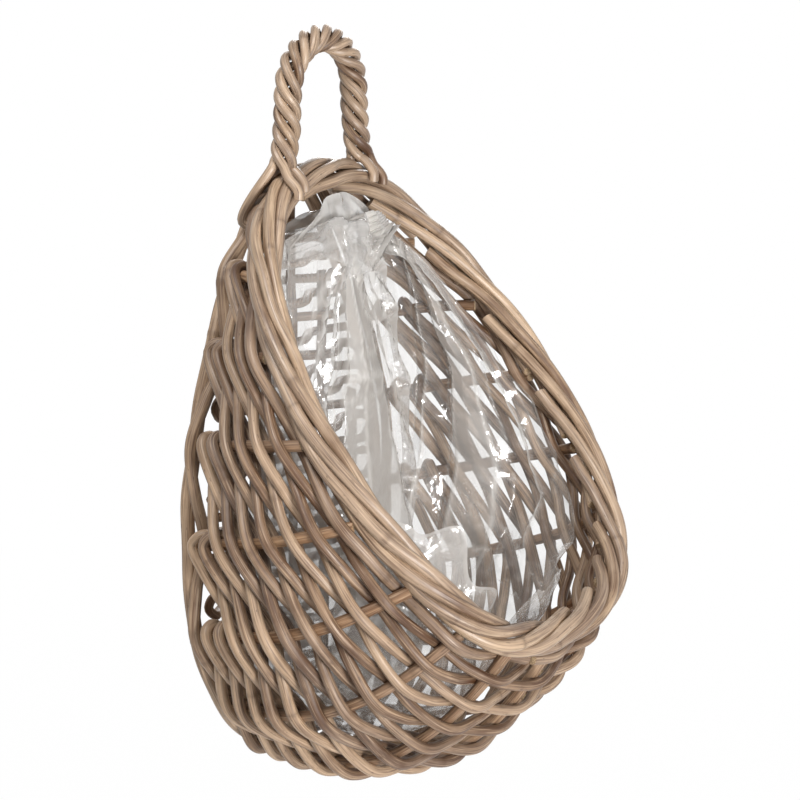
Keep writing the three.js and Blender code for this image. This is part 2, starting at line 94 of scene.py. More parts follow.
class Socket:
    """One output of a node. Operators add Math nodes, and node() adds any other node."""

    def __init__(self, tree, socket=None):
        """A tree alone makes a start to add nodes from."""
        self.tree = tree
        self.socket = socket

    def node(self, kind, settings=None, inputs=None, output=0):
        """Adds a node: its settings first, then values or links by socket name or number."""
        made = self.tree.nodes.new(kind)
        for name, value in (settings or {}).items():
            setattr(made, name, value)
        for key, value in (inputs or {}).items():
            if isinstance(value, Socket):
                self.tree.links.new(value.socket, made.inputs[key])
            else:
                made.inputs[key].default_value = value
        return Socket(self.tree, made.outputs[output])

    def math(self, operation, *values):
        """A Math node on these values or links."""
        return self.node("ShaderNodeMath", {"operation": operation}, dict(enumerate(values)))

    def __add__(self, other):
        return self.math("ADD", self, other)

    __radd__ = __add__

    def __sub__(self, other):
        return self.math("SUBTRACT", self, other)

    def __rsub__(self, other):
        return self.math("SUBTRACT", other, self)

    def __mul__(self, other):
        return self.math("MULTIPLY", self, other)

    __rmul__ = __mul__

    def stretched(self, x, y, z):
        """This vector with its three parts multiplied."""
        return self.node("ShaderNodeVectorMath", {"operation": "MULTIPLY"}, {0: self, 1: (x, y, z)})

    def noise(self, scale, detail=2.0):
        """Smooth noise from 0 to 1 at this place, so many patches to the metre."""
        return self.node("ShaderNodeTexNoise", None, {"Vector": self, "Scale": scale, "Detail": detail})

    def ramp(self, low, high):
        """0 below low, 1 above high, and smooth between."""
        settings = {"interpolation_type": "SMOOTHSTEP"}
        return self.node("ShaderNodeMapRange", settings, {0: self, 1: low, 2: high})

    def limited(self):
        """This value kept between 0 and 1."""
        return self.node("ShaderNodeClamp", None, {0: self})

    def blend(self, plain, other):
        """One colour where this is 0 and the other where it is 1."""
        return self.node("ShaderNodeMix", {"data_type": "RGBA"}, {0: self, 6: plain, 7: other}, output=2)


def colour(red, green, blue):
    """A colour as seen on a screen, 0 to 255, turned into the light values that shaders use."""
    screen = np.array([red, green, blue]) / 255
    light = np.where(screen < 0.04045, screen / 12.92, ((screen + 0.055) / 1.055) ** 2.4)
    return (*light.tolist(), 1.0)


print("a mid brown is", np.round(colour(150, 125, 105), 3).tolist())

# %% [markdown]
# ## Studio light
# The photograph has soft, even light on pure white. One lamp stands high on the left and shapes the rods,
# a stronger one, low and right of the camera, lights the mouth, and a wide one behind keeps the far edge
# from going black. A picture of a studio could light it too, but lamps can be moved one by one. A dim
# world fills the shadows. Its white is only for rays from the camera, off gloss or through glass: the
# Light Path node tells them apart, so the white adds no soft light to the rods.

# %% World and lamps
FILL = 0.11


def seen_white(start):
    """1 for rays from the camera, off gloss or through glass, and 0 for rays that carry soft light."""
    kinds = ("Camera", "Glossy", "Transmission")
    return sum(start.node("ShaderNodeLightPath", output=f"Is {kind} Ray") for kind in kinds).ramp(0, 1)


world = bpy.data.worlds.new("studio")
world.use_nodes = True
bpy.context.scene.world = world
start = Socket(world.node_tree)
sky = world.node_tree.nodes["Background"]
sky.inputs["Color"].default_value = (1, 1, 1, 1)
strength = FILL + (1 - FILL) * seen_white(start)
world.node_tree.links.new(strength.socket, sky.inputs["Strength"])


def lamp(name, azimuth, elevation, distance, size, watts):
    """A square soft lamp that looks at the middle of the basket."""
    back, right, up = view_directions(azimuth, elevation)
    made = bpy.data.objects.new(name, bpy.data.lights.new(name, "AREA"))
    made.data.size = size
    made.data.energy = watts
    made.matrix_world = stand_at(middle + distance * back, back, right, up)
    bpy.context.scene.collection.objects.link(made)


lamp("key_lamp", azimuth=-86, elevation=56, distance=1.6, size=0.5, watts=18)
lamp("front_lamp", azimuth=-28, elevation=-2, distance=1.9, size=0.5, watts=36)
lamp("back_lamp", azimuth=118, elevation=22, distance=1.9, size=0.9, watts=20)
bpy.context.scene.view_settings.view_transform = "Standard"
print("world fill", FILL)

# %% [markdown]
# A large pale floor lies well below the basket and throws a little light back up. The camera sees it as
# nearly the world's white, and as fully white further out, so that no edge shows.

# %% Floor
FLOOR_HEIGHT = -0.80
FLOOR_REACH = 6
FLOOR_WHITE = 0.985
floor_mesh = bpy.data.meshes.new("floor")
sides = FLOOR_REACH * np.array([(-1, -1), (1, -1), (1, 1), (-1, 1)])
floor_mesh.from_pydata(np.column_stack([sides, np.full(4, FLOOR_HEIGHT)]), [], [(0, 1, 2, 3)])
floor = bpy.data.objects.new("floor", floor_mesh)
bpy.context.scene.collection.objects.link(floor)
paper = bpy.data.materials.new("pale_floor")
paper.use_nodes = True
start = Socket(paper.node_tree)
matt = paper.node_tree.nodes["Principled BSDF"]
matt.inputs["Base Color"].default_value = (0.8, 0.8, 0.8, 1)
matt.inputs["Roughness"].default_value = 0.9
white = start.node("ShaderNodeEmission")
place = start.node("ShaderNodeTexCoord", output="Object")
away = start.node("ShaderNodeVectorMath", {"operation": "LENGTH"}, {0: place}, "Value").ramp(1.0, 2.0)
share = (FLOOR_WHITE + (1 - FLOOR_WHITE) * away) * seen_white(start)
lit = Socket(start.tree, matt.outputs[0])
shown = start.node("ShaderNodeMixShader", None, {0: share, 1: lit, 2: white})
paper.node_tree.links.new(shown.socket, paper.node_tree.nodes["Material Output"].inputs["Surface"])
floor_mesh.materials.append(paper)
print("floor", -FLOOR_HEIGHT, "m below the hook")

# %% [markdown]
# ## The outlines
# Two pear-shaped lines carry the basket: the hoop flat against the wall, and the border of the slanted
# mouth. A pear is an ellipse drawn in towards its top, and the mouth's is fuller at its lower corners.
# A curve could be drawn by hand, but a formula gives a point for any angle, and the wall needs that.
# Sizes are in millimetres, as on a drawing, and become metres only when a mesh is made. A taper is two
# numbers, how much it takes off and a power: the higher the power, the nearer it keeps to its end.

# %% Hoop and border lines
MM = 0.001
CLEARANCE = 0.35
HOOK_TO_WALL = 35
HOOP_D = 9
BACK_TOP = -78
BACK_BOTTOM = -448
BACK_HALF_WIDTH = 99
BACK_TAPER = (0.44, 1.8)
RIM_TOP = -75
RIM_BOTTOM = -340
RIM_HALF_WIDTH = 121
RIM_TAPER = (0.17, 1)
RIM_CORNERS = (-0.3, 14)
RIM_TOP_DEPTH = 36
RIM_BOTTOM_DEPTH = 211
RIM_LATE = 0.045
RIM_HOLLOW = 0.02
SMALL = 0.01


def pear(top, bottom, half_width, taper, tip=(0, 1)):
    """sin(a), drawn in towards the top by taper and towards the bottom by tip, or out if tip is below 0."""

    def drawn_in(angle):
        upper = 1 - taper[0] * ((1 + np.cos(angle)) / 2) ** taper[1]
        return np.sin(angle) * upper * (1 - tip[0] * ((1 - np.cos(angle)) / 2) ** tip[1])

    widest = drawn_in(np.linspace(0, np.pi, 181)).max()
    middle, half = (top + bottom) / 2, (top - bottom) / 2
    return lambda angle: (half_width * drawn_in(angle) / widest, middle + half * np.cos(angle))


def at_depth(x, depth, z):
    """Points from the width, the depth out from the wall and the height."""
    return np.stack(np.broadcast_arrays(x, HOOK_TO_WALL - depth, z), axis=-1).astype(float)


def unit(vectors):
    """Vectors divided by their lengths."""
    return vectors / np.linalg.norm(vectors, axis=-1, keepdims=True)


back_outline = pear(BACK_TOP, BACK_BOTTOM, BACK_HALF_WIDTH, BACK_TAPER)
rim_outline = pear(RIM_TOP, RIM_BOTTOM, RIM_HALF_WIDTH, RIM_TAPER, RIM_CORNERS)


def hoop_point(angle):
    """The hoop's middle line, half a rod out from the wall."""
    x, z = back_outline(angle)
    return at_depth(x, HOOP_D / 2, z)


def rim_point(angle):
    """The border's middle line: it leans out towards the bottom, later than a flat mouth would, and a
    little less at the sides."""
    x, z = rim_outline(angle)
    late = RIM_LATE * np.sin(2 * angle) * np.sign(np.sin(angle))
    lean = (1 - np.cos(angle)) / 2 - late - RIM_HOLLOW * np.abs(np.sin(angle))
    return at_depth(x, RIM_TOP_DEPTH + (RIM_BOTTOM_DEPTH - RIM_TOP_DEPTH) * lean, z)


print("border's lowest point", np.round(rim_point(np.pi), 1).tolist())

# %% [markdown]
# ## The swelling wall
# Between the two outlines the wall swells outwards, most of all at the belly. It is a function of two
# parameters, the angle round the basket and the share of the way from hoop to border, so any rod in the
# wall can be written as a line in those two numbers, plus how far it stands off the wall.

# %% The wall as a surface
STAKE_SKEW = np.radians(5.5)
TOP_SWELL = 4
BELLY_SWELL = 48
SWELL_POWER = 2.2
SWELL_AT_HOOP = 0.55
SWELL_GAIN = 0.9


def wall_ends(angle):
    """Where a line of the wall leaves the hoop and where it meets the border."""
    skew = STAKE_SKEW * np.sin(angle)
    return hoop_point(angle - skew), rim_point(angle + skew)


def outward(angle):
    """The direction away from the basket's middle, level with the wall's two ends."""
    along = sum(wall_ends(angle + SMALL)) - sum(wall_ends(angle - SMALL))
    return unit(np.stack([-along[..., 2], 0 * along[..., 1], along[..., 0]], axis=-1))


def wall_point(angle, share):
    """Straight from hoop to border, plus a swell of 4 s (1 - s), larger at the belly and near the border."""
    angle, share = np.broadcast_arrays(angle, share)
    foot, head = wall_ends(angle)
    swell = TOP_SWELL + (BELLY_SWELL - TOP_SWELL) * ((1 - np.cos(angle)) / 2) ** SWELL_POWER
    rise = swell * 4 * share * (1 - share) * (SWELL_AT_HOOP + SWELL_GAIN * share)
    return foot + (head - foot) * share[..., None] + outward(angle) * rise[..., None]


def wall_directions(angle, share):
    """Round the wall, forward to the border, and straight out of the wall."""
    around = unit(wall_point(angle + SMALL, share) - wall_point(angle - SMALL, share))
    forward = unit(wall_point(angle, share + SMALL) - wall_point(angle, share - SMALL))
    return around, forward, unit(np.cross(forward, around))


def wall_lengths(angle):
    """Running length from hoop to border in equal shares, one column for each angle."""
    points = wall_point(angle[None, :], np.linspace(0, 1, 61)[:, None])
    steps = np.linalg.norm(np.diff(points, axis=0), axis=-1)
    return np.concatenate([np.zeros((1, len(angle))), np.cumsum(steps, axis=0)])


def share_at(lengths, distance):
    """The share at a distance from the hoop, read between the two nearest entries of each column."""
    upper = np.clip((lengths < distance).sum(axis=0), 1, len(lengths) - 1)
    column = np.arange(lengths.shape[1])
    low, high = lengths[upper - 1, column], lengths[upper, column]
    return (upper - 1 + (distance - low) / (high - low)) / (len(lengths) - 1)


def wall_place(angle, distance, stand_off):
    """A point by its angle, its distance from the hoop along the wall, and how far it stands off."""
    share = share_at(wall_lengths(angle), distance)
    normal = wall_directions(angle, share)[2]
    return wall_point(angle, share) + normal * np.broadcast_to(stand_off, share.shape)[:, None]


def border_clear(angle, distance, half_end=0):
    """A clear distance to the border, longer along the wall where the two meet at a slant."""
    around, forward, _ = wall_directions(angle, np.ones_like(angle))
    lean = np.abs((around * forward).sum(axis=-1))
    return (distance + half_end * lean) / np.sqrt(1 - lean ** 2)


print("wall length at the belly", wall_lengths(np.array([np.pi]))[-1].round(1), "mm")

# %% [markdown]
# ## A curve through points
# A bent rod doesn't turn corners. A cubic between each pair of points, with slopes taken from the points
# on both sides, makes one smooth line. Blender's curves do this too, but here the line is needed as an
# array. It is then walked in even steps, so that the rings of a rod are as far apart in a tight bend as
# along a straight.

# %% Smooth paths


def smooth(points, step):
    """Hermite cubics through the points, spaced by the root of their distance, then in even steps."""
    points = np.asarray(points, float)
    chords = np.linalg.norm(np.diff(points, axis=0), axis=1)
    knots = np.concatenate([[0], np.cumsum(np.sqrt(chords))])
    slopes = np.gradient(points, knots, axis=0)
    place = np.linspace(0, knots[-1], 24 * len(points))
    span = np.clip(np.searchsorted(knots, place, side="right") - 1, 0, len(points) - 2)
    width = (knots[span + 1] - knots[span])[:, None]
    u = (place - knots[span])[:, None] / width
    curve = (2 * u**3 - 3 * u**2 + 1) * points[span] + (u**3 - 2 * u**2 + u) * width * slopes[span]
    curve += (3 * u**2 - 2 * u**3) * points[span + 1] + (u**3 - u**2) * width * slopes[span + 1]
    travel = running_length(curve)
    even = np.linspace(0, travel[-1], int(np.ceil(travel[-1] / step)) + 1)
    return np.stack([np.interp(even, travel, curve[:, axis]) for axis in range(3)], axis=1)


def running_length(path):
    """The distance walked along a path at each of its points."""
    return np.concatenate([[0], np.cumsum(np.linalg.norm(np.diff(path, axis=0), axis=1))])


def carried_frame(path):
    """Along, first and second directions of a path that don't twist: each ring's turn against the
    last is measured, and the running sum of those turns is taken back out."""
    along = unit(np.gradient(path, axis=0))
    plain = np.eye(3)[np.abs(along).argmin(axis=1)]
    first = unit(np.cross(along, plain))
    second = np.cross(along, first)
    carried = first[:-1] - along[1:] * (first[:-1] * along[1:]).sum(axis=1, keepdims=True)
    turn = np.arctan2((carried * second[1:]).sum(axis=1), (carried * first[1:]).sum(axis=1))
    roll = np.concatenate([[0], np.cumsum(turn)])[:, None]
    first = np.cos(roll) * first + np.sin(roll) * second
    return along, first, np.cross(along, first)


quarter = np.linspace(0, np.pi / 2, 4)
bend = smooth(np.stack([np.cos(quarter), np.sin(quarter), 0 * quarter], axis=1) * 100, 2)
print("a quarter bend of 100 mm measures", running_length(bend)[-1].round(2), "mm")

# %% [markdown]
# ## A rattan rod
# Rattan is a solid round cane. Its thickness wanders, it isn't quite straight, a raised ring marks each
# joint, and its ends are cut a little askew and show pale pith. A curve with a round bevel would give even
# tubes, so a profile is carried along the path instead, and changes on the way. Each point also keeps
# where it would be if the rod were straight, so that the grain can follow every bend, and a tone: how
# light and how grey this rod is, joint rings and cut ends.

# %% Rods as carried rings
SIDES = 12
BEVEL = 0.82


def drift(travel, rng, wavelength):
    """A value that wanders between about -1 and 1: five sines of random lengths and starts."""
    lengths = wavelength * rng.uniform(0.6, 1.8, 5)
    starts = rng.uniform(0, 2 * np.pi, 5)
    return 0.32 * np.sin(2 * np.pi * travel[:, None] / lengths + starts).sum(axis=1)


def rod(points, diameter, rng, wander=0.6, step=2.0):
    """Rings of 12 points round a smooth path: half the diameter times (1 + drift + joint rings),
    slightly oval, with both ends slanted and closed by a bevel ring and a middle point."""
    path = smooth(points, step)
    travel = running_length(path)
    along, first, second = carried_frame(path)
    free = np.clip(np.minimum(travel, travel[-1] - travel) / 20, 0, 1) * wander
    path = path + (free * drift(travel, rng, 80))[:, None] * first
    path = path + (free * drift(travel, rng, 80))[:, None] * second
    joints = np.arange(rng.uniform(20, 200), travel[-1] + 1, rng.uniform(170, 290))
    joint = np.exp(-(((travel[:, None] - joints) / 1.6) ** 2)).sum(axis=1)
    size = diameter / 2 * (1 + 0.05 * drift(travel, rng, 60) + 0.07 * joint)
    angle = np.linspace(0, 2 * np.pi, SIDES, endpoint=False)
    oval = 1 + 0.04 * np.cos(2 * angle + rng.uniform(0, 6))
    radius = size[:, None] * oval
    across = np.cos(angle)[:, None] * first[:, None] + np.sin(angle)[:, None] * second[:, None]
    rings = path[:, None] + across * radius[..., None]
    slant = rng.uniform(-0.4, 0.4, (2, 1)) * np.cos(angle - rng.uniform(0, 6, (2, 1)))
    rings[[0, -1]] += (slant * radius[[0, -1]])[..., None] * along[[0, -1], None]
    outwards = along[[0, -1], None] * np.array([-1, 1])[:, None, None]
    bevels = path[[0, -1], None] + BEVEL * (rings[[0, -1]] - path[[0, -1], None]) + 0.35 * outwards
    middles = path[[0, -1]] + 0.45 * outwards[:, 0]
    return {"points": np.concatenate([rings.reshape(-1, 3), bevels.reshape(-1, 3), middles]),
            **rod_faces(len(path)), **rod_marks(travel, angle, radius, joint, rng)}


def rod_faces(count):
    """Four-sided faces between neighbouring rings and bevels, and three-sided fans at the two ends."""
    ring = np.arange((count + 2) * SIDES).reshape(-1, SIDES)
    ring = np.vstack([ring[count], ring[:count], ring[count + 1]])
    beside = np.roll(ring, -1, axis=1)
    quads = np.stack([ring[:-1], beside[:-1], beside[1:], ring[1:]], axis=-1).reshape(-1, 4)
    first, last = np.full(SIDES, (count + 2) * SIDES), np.full(SIDES, (count + 2) * SIDES + 1)
    fans = [np.stack([first, beside[0], ring[0]], axis=1), np.stack([last, ring[-1], beside[-1]], axis=1)]
    return {"quads": quads, "fans": np.concatenate(fans)}


def rod_marks(travel, angle, radius, joint, rng):
    """Where each point lies on the straight rod, in metres, and its four tones."""
    straight = np.stack(np.broadcast_arrays(radius * np.cos(angle), radius * np.sin(angle),
                                            travel[:, None] + rng.uniform(0, 90000)), axis=-1)
    ends = straight[[0, -1]] * [BEVEL, BEVEL, 1]
    middles = ends[:, 0] * [0, 0, 1]
    tone = np.zeros((len(travel), SIDES, 4))
    tone[..., 0], tone[..., 1] = rng.uniform(0, 1, 2)
    tone[..., 2] = joint[:, None]
    cut = np.zeros((2 * SIDES + 2, 4))
    cut[:, :2] = tone[0, 0, :2]
    cut[:, 3] = 1
    return {"straight": MM * np.concatenate([straight.reshape(-1, 3), ends.reshape(-1, 3), middles]),
            "tone": np.concatenate([tone.reshape(-1, 4), cut])}


trial = rod([(0, 0, 0), (0, 0, 100)], 7, np.random.default_rng(0))
print("a 100 mm rod has", len(trial["quads"]), "faces and", len(trial["fans"]), "in its ends")

# %% [markdown]
# ## From rods to a piece
# All rods of one kind make one mesh, because they share a finish. The piece rides on the basket's only
# body, stands for its plain solids, and gets its finish.

# %% Rods into one mesh


def rod_piece(name, rods, finish, nodes):
    """Joins the rods' arrays, counting face numbers on from rod to rod, into one mesh."""
    counts = np.cumsum([0] + [len(one["points"]) for one in rods])
    faces = [one[kind] + at for kind in ("quads", "fans") for one, at in zip(rods, counts)]
    mesh = bpy.data.meshes.new(name)
    points = MM * np.concatenate([one["points"] for one in rods])
    mesh.from_pydata(points, [], [face for part in faces for face in part.tolist()])
    straight = mesh.attributes.new("straight", "FLOAT_VECTOR", "POINT")
    straight.data.foreach_set("vector", np.concatenate([one["straight"] for one in rods]).ravel())
    tone = mesh.attributes.new("tone", "FLOAT_COLOR", "POINT")
    tone.data.foreach_set("color", np.concatenate([one["tone"] for one in rods]).ravel())
    mesh.shade_smooth()
    mesh.set_sharp_from_angle(angle=np.radians(50))
    mesh.materials.append(finish)
    piece = bpy.data.objects.new(name, mesh)
    bpy.context.scene.collection.objects.link(piece)
    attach(piece, "root")
    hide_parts(*nodes)
    print(name, len(rods), "rods,", len(mesh.polygons), "faces")
    return piece


# %% [markdown]
# ## The rattan finish
# Weathered rattan is grey-brown, streaked along the cane, patchy over a few fingers' width, darker at the
# joints and pale where it is cut. Fine fibres, some dark and some pale, catch the light. Fibres and
# streaks are noise on the straight rod, stretched along it, so that they bend with the rod, and they also
# make its relief. A picture of wood would need a seam along each rod, and noise needs none. Handling
# leaves a soft gloss, so the border and the handle are smoother; their paler colour is a painted sheen.
# The rods inside are given a browner copy of the finish as painted shade.

# %% Rattan
DARK_FIBRE = colour(64, 40, 23)
PALE_FIBRE = colour(224, 197, 166)
FLECK = colour(52, 34, 21)
JOINT_BROWN = colour(84, 61, 42)
DARK_PITH = colour(150, 122, 92)
PALE_PITH = colour(206, 182, 148)


def rattan(name, pale, deep, grey, roughness):
    """Noises on the straight rod: fibres, streaks, patches and flecks choose between the colours."""
    material = bpy.data.materials.new(name)
    material.use_nodes = True
    start = Socket(material.node_tree)
    place = start.node("ShaderNodeAttribute", {"attribute_name": "straight"}, output="Vector")
    tone = start.node("ShaderNodeAttribute", {"attribute_name": "tone"}, output="Color")
    cut = start.node("ShaderNodeAttribute", {"attribute_name": "tone"}, output="Alpha")
    light, dull, joint = [start.node("ShaderNodeSeparateColor", None, {0: tone}, part) for part in range(3)]
    fibres = place.stretched(1, 1, 0.03).noise(1250, 2)
    streaks = place.stretched(1, 1, 0.05).noise(450, 3)
    patches = place.stretched(0.4, 0.4, 1).noise(26, 4)
    shade = (1.1 * streaks + 1.0 * patches + 0.55 * light - 0.86).ramp(0, 1)
    body = shade.blend(deep, pale)
    body = (0.6 * (patches + 0.55 * dull - 0.25 * streaks).ramp(0.42, 0.95)).blend(body, grey)
    body = (0.55 * fibres.ramp(0.50, 0.68)).blend(body, DARK_FIBRE)
    body = (0.3 * (1 - fibres).ramp(0.53, 0.70)).blend(body, PALE_FIBRE)
    flecks = place.stretched(1, 1, 0.22).noise(900, 1).ramp(0.70, 0.76)
    body = (0.55 * flecks).blend(body, FLECK)
    body = (0.55 * joint).blend(body, JOINT_BROWN)
    pith = place.noise(1500, 2).ramp(0.35, 0.7).blend(DARK_PITH, PALE_PITH)
    body = cut.blend(body, pith)
    height = 0.6 * fibres + 0.5 * streaks
    relief = start.node("ShaderNodeBump", None, {"Strength": 0.55, "Distance": 0.0006, "Height": height})
    shader = material.node_tree.nodes["Principled BSDF"]
    shader.inputs["Specular IOR Level"].default_value = 0.58
    links = {"Base Color": body, "Roughness": roughness + 0.3 * fibres, "Normal": relief}
    for socket, value in links.items():
        material.node_tree.links.new(value.socket, shader.inputs[socket])
    return material


weathered = rattan("weathered_rattan", colour(188, 159, 130), colour(78, 48, 25), colour(138, 117, 100), 0.36)
# The rods inside, out of the light, get a browner copy of the finish: painted shade.
shaded = rattan("shaded_rattan", colour(176, 140, 106), colour(90, 58, 32), colour(132, 109, 90), 0.42)
# The border and handle finish is painted paler as a sheen; its lower roughness is the real gloss.
handled_and_sheen = rattan("handled_painted_sheen_rattan", colour(202, 174, 144), colour(78, 48, 26), colour(156, 134, 115), 0.27)
print("finishes", weathered.name, shaded.name, handled_and_sheen.name)

# %% [markdown]
# ## The back
# The flat back hangs against the wall: a thick hoop, upright sticks inside it, and thinner rods woven to
# and fro across the sticks. Each row swings in front of one stick and behind the next, and the rod turns
# back just inside the hoop. The line of those turns is the hoop's middle line, moved in by half the hoop's
# thickness and half a weaver's. Only the points at the sticks and turns are worked out, because the smooth
# curve does the bending between them.

# %% Hoop, sticks and back weavers
STICK_D = 6.4
BACK_WEAVER_D = 6
STICK_COUNT = 5
STICK_SPREAD = 0.65 * BACK_HALF_WIDTH
WEAVE_SLACK = 0.6
ROW_PITCH = 12.5
ROWS_PER_ROD = 7
HOOP_CORNERS = 8
HOOP_RADIUS = HOOP_D / 2 / np.cos(np.pi / HOOP_CORNERS)
BACK_WEAVE = (STICK_D + BACK_WEAVER_D) / 2 + CLEARANCE + WEAVE_SLACK
BACK_DEPTH = BACK_WEAVE + BACK_WEAVER_D / 2
LOWEST_ROW = BACK_BOTTOM + HOOP_D + BACK_WEAVER_D
rng = np.random.default_rng(11)

half_turn = np.linspace(0, np.pi, 400)
line = np.stack(back_outline(half_turn), axis=1)
slope = unit(np.gradient(line, axis=0))
moved_in = HOOP_RADIUS + BACK_WEAVER_D / 2 + CLEARANCE
turn_x, turn_z = (line + moved_in * np.stack([slope[:, 1], -slope[:, 0]], axis=1)).T
sticks = np.linspace(-1, 1, STICK_COUNT) * STICK_SPREAD


def turn_at(z):
    """Half the width of the turning line at a height."""
    return np.interp(z, turn_z[::-1], turn_x[::-1])


def stick_ends(x):
    """The lowest and highest points that leave room for a row to turn outside a stick."""
    room = turn_z[turn_x > abs(x) + (ROW_PITCH + STICK_D) / 2 + BACK_WEAVER_D + CLEARANCE]
    return at_depth(x, BACK_DEPTH, np.array([room.min(), room.mean(), room.max()]))


def back_row(row, turns_on):
    """A row's points from one side to the other, and the turn up to the next row."""
    z = LOWEST_ROW + row * ROW_PITCH
    end = turn_at(z) - ROW_PITCH / 2
    over = np.abs(sticks) < end - CLEARANCE
    swing = BACK_WEAVE * np.cos(np.pi * (row + np.arange(STICK_COUNT)))
    x = np.concatenate([[-end], sticks[over], [end]])
    points = at_depth(x, BACK_DEPTH + np.concatenate([[0], swing[over], [0]]), z)
    way = 1 if row % 2 == 0 else -1
    turn_height = z + ROW_PITCH / 2
    turn = at_depth(way * (turn_at(turn_height) - CLEARANCE), BACK_DEPTH, turn_height)[None]
    return np.concatenate([points[::way], turn[:turns_on]])


rows = int((BACK_TOP - LOWEST_ROW) // ROW_PITCH) - 1
groups = [range(row, min(row + ROWS_PER_ROD, rows)) for row in range(0, rows, ROWS_PER_ROD)]
weavers = [np.concatenate([back_row(row, row < group[-1]) for row in group]) for group in groups]
ring = np.linspace(0.01, 2 * np.pi - 0.01, 120)
rod_piece("back_hoop_rod", [rod(hoop_point(ring), HOOP_D, rng)], weathered, ["back_hoop"])
rod_piece("back_stick_rods", [rod(stick_ends(x), STICK_D, rng) for x in sticks], shaded,
          [f"back_stick_{number}" for number in range(1, STICK_COUNT + 1)])
rod_piece("back_weaver_rods", [rod(path, BACK_WEAVER_D, rng, 0.4) for path in weavers], shaded,
          [f"back_weaver_{number}" for number in range(1, len(weavers) + 1)])

# %% [markdown]
# ## The stakes
# Fifteen stakes run forward from the hoop to the border and carry the weave, which passes over and under
# them. A stake is one line of the wall at a fixed angle, so it needs nothing but that angle. It starts just
# beside the hoop and ends against the border's rods.

# %% Stakes
STAKE_D = 7.2
WEAVER_D = 7.5
BORDER_ROD_D = 8.8
STAKE_GAP = 2
STAKE_SINK = 1
STATIONS = 16
BOTTOM = STATIONS / 2
FIRST_STAKE = np.radians(50)
STAKE_STEP = 2 * (np.pi - FIRST_STAKE) / (STATIONS - 2)
BORDER_OFFSET = (BORDER_ROD_D + CLEARANCE) / np.sqrt(2)
BORDER_RADIUS = BORDER_OFFSET + BORDER_ROD_D / 2
rng = np.random.default_rng(23)


def station_angle(station):
    """Stations count the stakes round the wall from the top; both halves are alike."""
    near = np.minimum(station, STATIONS - station)
    angle = np.where(near < 1, FIRST_STAKE * near, FIRST_STAKE + STAKE_STEP * (near - 1))
    return np.where(station > BOTTOM, 2 * np.pi - angle, angle)


def stake_path(stake):
    """One line of the wall, from the hoop's side to the border's side."""
    angle = np.full(12, station_angle(float(stake)))
    near = HOOP_RADIUS + STAKE_GAP
    far = wall_lengths(angle)[-1] - border_clear(angle, BORDER_RADIUS - STAKE_SINK, STAKE_D / 2)
    return wall_place(angle, near + (far - near) * np.linspace(0, 1, 12), 0.0)


stakes = [rod(stake_path(stake), STAKE_D, rng, 0.3) for stake in range(1, STATIONS)]
rod_piece("stake_rods", stakes, shaded,
          [f"side_stake_{stake:02d}" for stake in range(1, STATIONS)])

# %% [markdown]
# ## The woven wall
# Two rods run all the way round, one against the hoop and one against the border. The belly is deeper
# than the top, so packing rods fill the wedge: each climbs one side, turns in a hairpin round a stake,
# comes back down, goes up the other side, turns again and returns. Copies of one ring couldn't do that, so
# every row is worked out stake by stake. Rows are ranked from the border, and a row's place is its rank's
# share of the rows at that stake, so the rods that turn at a stake are the ones nearest the hoop there. A
# row swings over and under the stakes like a cosine.

# %% Rows of the wall
LEVELS = 5
HOOP_RANK = 4 * LEVELS + 1
CROWDING = 0.12
SWING = 0.78
HOOP_TO_ROW = HOOP_RADIUS + WEAVER_D / 2 + CLEARANCE
BORDER_TO_ROW = BORDER_RADIUS + WEAVER_D / 2 + 2 * CLEARANCE
WEAVE_HEIGHT = (STAKE_D + WEAVER_D) / 2 + CLEARANCE + WEAVE_SLACK


def row_distance(station, rank):
    """The rank's share of the rows there, crowded towards the border near the top; the hoop's is last."""
    angle = station_angle(station)
    last = wall_lengths(angle)[-1] - border_clear(angle, BORDER_TO_ROW)
    near = np.minimum(np.minimum(station, STATIONS - station), LEVELS)
    share = np.minimum(rank / (4 * near + 1), 1) ** (1 + CROWDING * (1 - near / LEVELS))
    return last - share * (last - HOOP_TO_ROW)


def row_swing(station, rank):
    """Out at one stake and in at the next, and level over the top, where there is no stake."""
    woven = (station >= 1) & (station <= STATIONS - 1)
    return SWING * WEAVE_HEIGHT * woven * np.cos(np.pi * (station + rank))


def row_path(station, rank):
    """A row's points at these stations."""
    return wall_place(station_angle(station), row_distance(station, rank), row_swing(station, rank))


print("rows at the belly", HOOP_RANK + 1)

# %% [markdown]
# A rod of the wall is a chain of runs and hairpins. A run goes along one row, with a point at every stake
# and halfway between. A hairpin adds three points round the far side of a stake while the rod moves over
# to its next row. The ends lie under the belly, where they show least.

# %% Wall weavers and packing rods
ROUND_START = BOTTOM + 0.5
ROUND_END = BOTTOM + 0.4
PACKING_START = BOTTOM - 0.4
PACKING_END = BOTTOM - 0.3
ROUND_THICKNESS = 0.98
PACKING_THICKNESS = (0.88, 1.0)
rng = np.random.default_rng(37)


def run(start, stop):
    """The stations of a run: its ends, and every stake and halfway point between them."""
    low, high = min(start, stop), max(start, stop)
    halves = np.arange(2 * STATIONS + 1) / 2
    between = halves[(halves > low + SMALL) & (halves < high - SMALL)]
    stations = np.concatenate([[low], between, [high]])
    return stations if start < stop else stations[::-1]


def hairpin(station, rank, next_rank):
    """A half circle round the far side of a stake while the rod moves from one row to the next."""
    station = np.full(3, float(station))
    turn = np.radians([-45, 0, 45])
    here = row_distance(station, rank)
    distance = here + (row_distance(station, next_rank) - here) * np.array([0.25, 0.5, 0.75])
    angle = station_angle(station)
    beyond = np.where(station < BOTTOM, -1, 1) * SWING * WEAVE_HEIGHT * np.cos(turn)
    around = wall_directions(angle, share_at(wall_lengths(angle), distance))[0]
    return wall_place(angle, distance, -row_swing(station, rank) * np.sin(turn)) + around * beyond[:, None]


